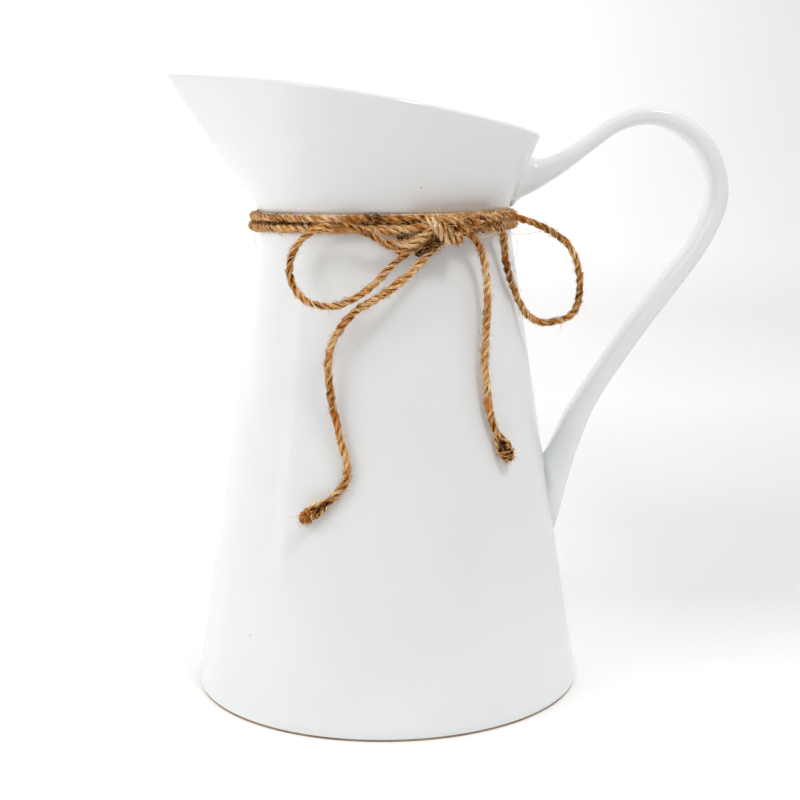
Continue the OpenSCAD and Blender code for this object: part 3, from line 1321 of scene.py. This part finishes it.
@dataclass
class Bow:
    """The turns round the neck, the knot, two loops, two tails and their loose fibres."""

    vessel: Vessel
    jute: bpy.types.Material
    twine: Twine = field(default_factory=Twine)
    turn_upper_z: float = 232.1 * MM
    turn_lower_z: float = 227.4 * MM
    turn_stand_off: float = 1.65 * MM
    turn_thick: float = 0.90
    turn_spread: float = 0.86
    turn_points: int = 73
    turn_hairs: int = 1500
    turn_sway: float = 0.35 * MM
    knot_hairs: int = 100
    knot_coarse_hairs: int = 110
    gap_z: float = 229.75 * MM
    gap_stand_off: float = 0.9 * MM
    gap_turns: float = -0.55
    gap_points: int = 40
    gap_painted_shade_tone: float = 0.05
    knot_angle_deg: float = -66.0
    loop_left_route: tuple = (
        (18.5, -67.5, 224.5), (10, -70, 221.5), (1.5, -70.5, 222), (-7, -70, 226.5),
        (-16.5, -68.5, 229.5), (-26.5, -66.5, 229), (-34.5, -65.5, 224.5),
        (-39.5, -66, 218), (-41, -68.5, 211), (-39.5, -72, 204), (-34.5, -76.5, 198),
        (-27, -80, 195.5), (-19.5, -81, 195.5), (-11.5, -81, 199), (-4, -79, 204),
        (3.5, -76, 211.5), (11, -72.5, 217.5), (17, -68.5, 222.5))
    loop_right_route: tuple = (
        (31, -65, 228.5), (39.5, -57, 230.5), (48, -49.5, 231.5), (56.5, -39.5, 232.5),
        (64.5, -33, 230.5), (73, -29, 227.5), (80.5, -26, 223.5), (87, -24.5, 218.5),
        (91, -24, 212), (93, -24, 204), (93.5, -24, 196), (92, -24.5, 188.5),
        (88, -25, 183.5), (81, -26, 181.5), (74, -28, 181.5), (67.5, -30, 186),
        (63, -30.5, 194), (59.5, -36, 202.5), (57, -39, 211), (56, -41, 219),
        (54, -44.5, 226), (47, -51.5, 227.5), (40, -59, 227))
    tail_left_route: tuple = (
        (24.5, -65.5, 220), (19, -71, 215), (12.5, -75.5, 209), (5, -78.5, 203),
        (-3, -80, 198), (-11.5, -79.5, 193), (-18, -77.5, 186), (-22.5, -75.5, 178),
        (-24.5, -74.5, 169), (-24, -74.5, 160), (-23, -74.5, 151), (-21, -75.5, 142),
        (-19, -77, 133), (-16.5, -78, 124.5), (-17.5, -79, 116), (-22, -79.5, 110),
        (-25.5, -79, 107))
    tail_right_route: tuple = (
        (31, -63, 224.5), (37.5, -59.5, 225.5), (42.5, -57, 221.5), (45.5, -55.5, 214.5),
        (47, -55, 206.5), (47.5, -55.5, 198), (47.5, -56.5, 190), (47, -57.5, 182),
        (46.5, -58.5, 174), (46, -60, 165.5), (47, -60, 157.5), (47.5, -60.5, 149.5),
        (49, -60.5, 141), (51.5, -59.5, 134), (53, -59, 131.5))

    def add(self, shape: Shape, name: str, *nodes: str) -> bpy.types.Object:
        """Finishes one piece of the bow, standing for the CAD nodes named, and returns it."""
        return dress(shape.build(name), self.jute, Slot.JUTE, *nodes)

    def cord(self, name: str, node: str, route: tuple, seed: int,
             hairs: int = 330,
             tone: float = 0.62, slim: float = 0.82) -> None:
        """Args:
            name: the piece's name.
            node: the CAD node that it stands for.
            route: its route, in millimetres.
            seed: the seed of its random fibres.
            hairs: how many loose hairs it has.
            tone: how light it is.
            slim: how thick it is, as a share of the twine's full thickness.
        """
        rng = np.random.default_rng(seed)
        shape, loose = Shape(), Shape()
        line = self.twine.run(shape, np.array(route) * MM, rng, slim, slim, tone)
        piece = self.add(shape, name, node)
        self.twine.fuzz(loose, line, rng, hairs, self.vessel)
        fuzz = self.add(loose, f"{name}_fuzz")

    def build_cords(self) -> None:
        """Makes both loops and both tails."""
        left_end = EndKnot("left_frayed_end", "end_knot_left", (-26.0, -79.2, 106.6),
                           (-38.3, -77.5, 97.6), 61).build(self.jute)
        right_end = EndKnot("right_frayed_end", "end_knot_right", (52.6, -59.2, 132.2),
                            (58.2, -57.5, 120.6), 62, half_width=2.6 * MM).build(self.jute)
        self.cord("left_loop", "bow_loop_left", self.loop_left_route, 11,
                  tone=0.58, slim=0.74)
        self.cord("right_loop", "bow_loop_right", self.loop_right_route, 12,
                  hairs=420, tone=0.52, slim=0.79)
        self.cord("left_tail", "bow_tail_left", self.tail_left_route, 13,
                  tone=0.58)
        self.cord("right_tail", "bow_tail_right", self.tail_right_route, 14,
                  tone=0.62)

    def round_neck(self, z: float, stand_off: float, turns: float, sway: Array) -> Array:
        """Lays a route round the neck, from the knot.

        Args:
            z: its height.
            stand_off: how far it stands off the clay.
            turns: how many turns it takes, below zero towards the left loop.
            sway: how far each of its points is raised.

        Returns:
            The route's points.
        """
        start = math.radians(self.knot_angle_deg)
        angle = np.linspace(start, start + 2 * math.pi * turns, len(sway))
        r = self.vessel.cone_r(z) + stand_off
        return np.stack([r * np.cos(angle), r * np.sin(angle), z + sway], axis=1)

    def build_turns(self) -> None:
        """Winds the two turns round the neck, with a near-black strand that paints the shade
        between them.
        """
        for name, node, z, seed in (
                ("upper_turn", "twine_turn_upper", self.turn_upper_z, 21),
                ("lower_turn", "twine_turn_lower", self.turn_lower_z, 22)):
            rng = np.random.default_rng(seed)
            sway = ripple(rng, self.turn_points, 1, 7)[:, 0] * self.turn_sway
            shape, between, loose = Shape(), Shape(), Shape()
            line = self.twine.run(shape, self.round_neck(z, self.turn_stand_off, 1.0, sway),
                                  rng, self.turn_thick, self.turn_spread)
            if node == "twine_turn_upper":
                # A near-black strand in the gap between the turns is painted shade.
                gap = self.round_neck(self.gap_z, self.gap_stand_off, self.gap_turns,
                                      np.zeros(self.gap_points))
                self.twine.run(between, gap, rng, 0.62, 0.6, self.gap_painted_shade_tone)
                self.add(between, "gap_painted_shade")
            self.add(shape, name, node)
            self.twine.fuzz(loose, line, rng, self.turn_hairs, self.vessel, (1.2, 4.5))
            self.add(loose, f"{name}_fuzz")

    def build_knot(self) -> None:
        """Ties the knot from short pulls of twine, some of them half untwisted, the near-black
        ones painted shade.
        """
        rng = np.random.default_rng(31)
        pulls = (
            # route in mm, thickness, spread of the plies, tone
            (((20.4, -66.5, 232.2), (22.2, -69.6, 231), (24.2, -71.6, 228.6),
              (26, -71.8, 225.8), (27.6, -70.4, 223.2), (29.2, -67.5, 221.6)), 0.74, 1.15, 0.84),
            (((24, -66, 231.6), (26.4, -69.4, 230), (28.6, -70.4, 227.4), (30.2, -69.6, 224.6),
              (31.6, -67, 222.6)), 0.55, 0.8, 0.50),
            (((7, -70.5, 217.5), (11, -71.8, 220), (15, -72, 222.4), (19.2, -71.2, 225),
              (22.6, -69, 227.4)), 0.88, 1.2, 0.64),
            (((2, -69, 221.2), (7.5, -70, 220.6), (12.5, -70.5, 221), (17, -69.5, 222.8),
              (21.5, -67, 225.6)), 0.85, 1.2, 0.46),
            (((-3, -63.5, 226.8), (6, -65.4, 226.6), (13.5, -67.4, 227.8), (18.5, -68.8, 229),
              (23, -68.5, 229.2)), 0.80, 0.95, 0.82),
            # Near-black pulls (tone 0) here and below are painted shade in the knot's hollows.
            (((-14, -60.6, 229.5), (-4, -62, 229.4), (6, -62, 229.5), (15, -60.8, 229.8),
              (22, -59, 230)), 0.6, 0.8, 0.0),
            (((7, -65, 223.8), (12, -66, 224.6), (16.5, -66.5, 225.8), (20.5, -66, 227.4)),
             0.7, 0.9, 0.0),
            (((15, -63.5, 232.2), (23, -65, 231.6), (30, -64, 231), (37, -61, 230.2)),
             0.92, 1.2, 0.50),
            (((36.2, -61, 230.6), (38.6, -62, 230.8), (41, -61, 229.8), (41.6, -59.4, 228.2),
              (39.8, -60.4, 227.2), (37.4, -61.6, 227.8)), 0.82, 1.1, 0.33),
            (((41.5, -57, 230.4), (44.6, -55.6, 231.4), (47.6, -52.8, 231.6),
              (50.6, -49.4, 232), (54, -44.5, 232.8), (57, -39, 233.2)), 0.8, 1.1, 0.60),
            (((42, -57, 228.6), (46, -53.6, 229.2), (50, -49, 229.8), (54.5, -43.5, 230.4)),
             0.8, 1.15, 0.46),
            (((24, -66, 228.4), (31, -66, 228.2), (37, -62, 227.4), (43, -56, 227.2),
              (49, -49, 227.4)), 0.82, 1.2, 0.38),
            (((29.5, -67.5, 226), (31.8, -69, 224), (33.6, -68.4, 222.2), (34.4, -66.5, 224),
              (33, -64, 225.6), (30, -63, 226)), 0.72, 1.1, 0.50),
            # Near-black pulls that paint the shade in the hollow under the wrap.
            (((15, -64.5, 216.8), (19, -65, 219), (23, -65, 222), (27, -64.5, 225.6)),
             1.0, 1.1, 0.0),
            (((19, -64.5, 216.6), (23, -64.5, 219.4), (27, -64, 222.6)), 0.9, 1.0, 0.0),
            (((19.5, -68.5, 219.2), (22, -70, 220.6), (25, -70.2, 222.4), (28, -69, 224)),
             0.85, 1.2, 0.0),
        )
        shape, loose = Shape(), Shape()
        for route, swell, spread, tone in pulls:
            line = self.twine.run(shape, np.array(route) * MM, rng, swell, spread, tone)
            self.twine.fuzz(loose, line, rng, self.knot_hairs, self.vessel, (1.5, 5.5))
            self.twine.fuzz(loose, line, rng, self.knot_coarse_hairs, self.vessel,
                            (1.0, 3.2), 1.7)
        self.add(shape, "knot_strands", "bow_knot")
        self.add(loose, "knot_fuzz")

    def build_loose_fibres(self) -> None:
        """Adds the long single fibres that have worked loose, each where it hangs."""
        fibres = (
            # route in mm, radius in mm, tone
            (((41, -60, 222.6), (46, -59.5, 223.6), (51, -56, 224.6), (55, -50, 225.4)),
             0.20, 0.72),
            (((59, -44, 223.6), (64, -42, 223.9), (70, -38, 224.2), (77, -33, 226)),
             0.11, 0.50),
            (((58, -45, 223.8), (65, -41, 225.6), (71, -36, 226.6)), 0.08, 0.60),
            (((57, -46, 228), (61.5, -45, 221.5), (62, -45, 216), (59.8, -46, 211.5)),
             0.09, 0.42),
            (((-58, -26, 228), (-60.5, -26, 224.5), (-60.2, -26, 220.6), (-59.4, -26, 217.5)),
             0.09, 0.40),
            (((25.5, -68, 232), (26, -67.5, 235.5), (24, -66.5, 238), (20.5, -66, 239)),
             0.10, 0.85),
            (((24.5, -68.5, 231), (24.8, -68.5, 234.5), (22.4, -68, 237)), 0.13, 0.88),
            (((27, -68, 231.5), (28, -67.5, 234.5), (30, -66.5, 235.6)), 0.12, 0.70),
            (((43, -58, 232), (44.5, -57, 235), (45, -56, 237)), 0.07, 0.75),
            (((8, -71.5, 218), (10, -73.5, 221.5), (14, -73.5, 223), (17, -72.5, 221)),
             0.14, 0.80),
            (((9, -72, 217), (13, -74, 217.5), (17, -73.5, 219.5), (18, -72.5, 222)),
             0.14, 0.62),
        )
        shape = Shape()
        for route, radius, tone in fibres:
            shape.hair(smooth_curve(np.array(route) * MM, 6), radius * MM, tone, sides=5)
        self.add(shape, "loose_fibres")


def main() -> None:
    """Builds the studio and every part of the pitcher."""
    logging.basicConfig(level=logging.INFO, format="%(name)s: %(message)s")
    studio = Studio()
    studio.camera()
    vessel = Vessel()
    bow = Bow(vessel, Jute().make())
    bow.build_cords()
    bow.build_turns()
    bow.build_knot()
    bow.build_loose_fibres()
    glaze = WhiteGlaze().make()
    vessel.build_wall(glaze)
    vessel.build_foot(glaze, BareClay().make())
    vessel.build_collar(glaze)
    StrapHandle(vessel).build(glaze)
    studio.build()


if __name__ == "__main__":
    main()
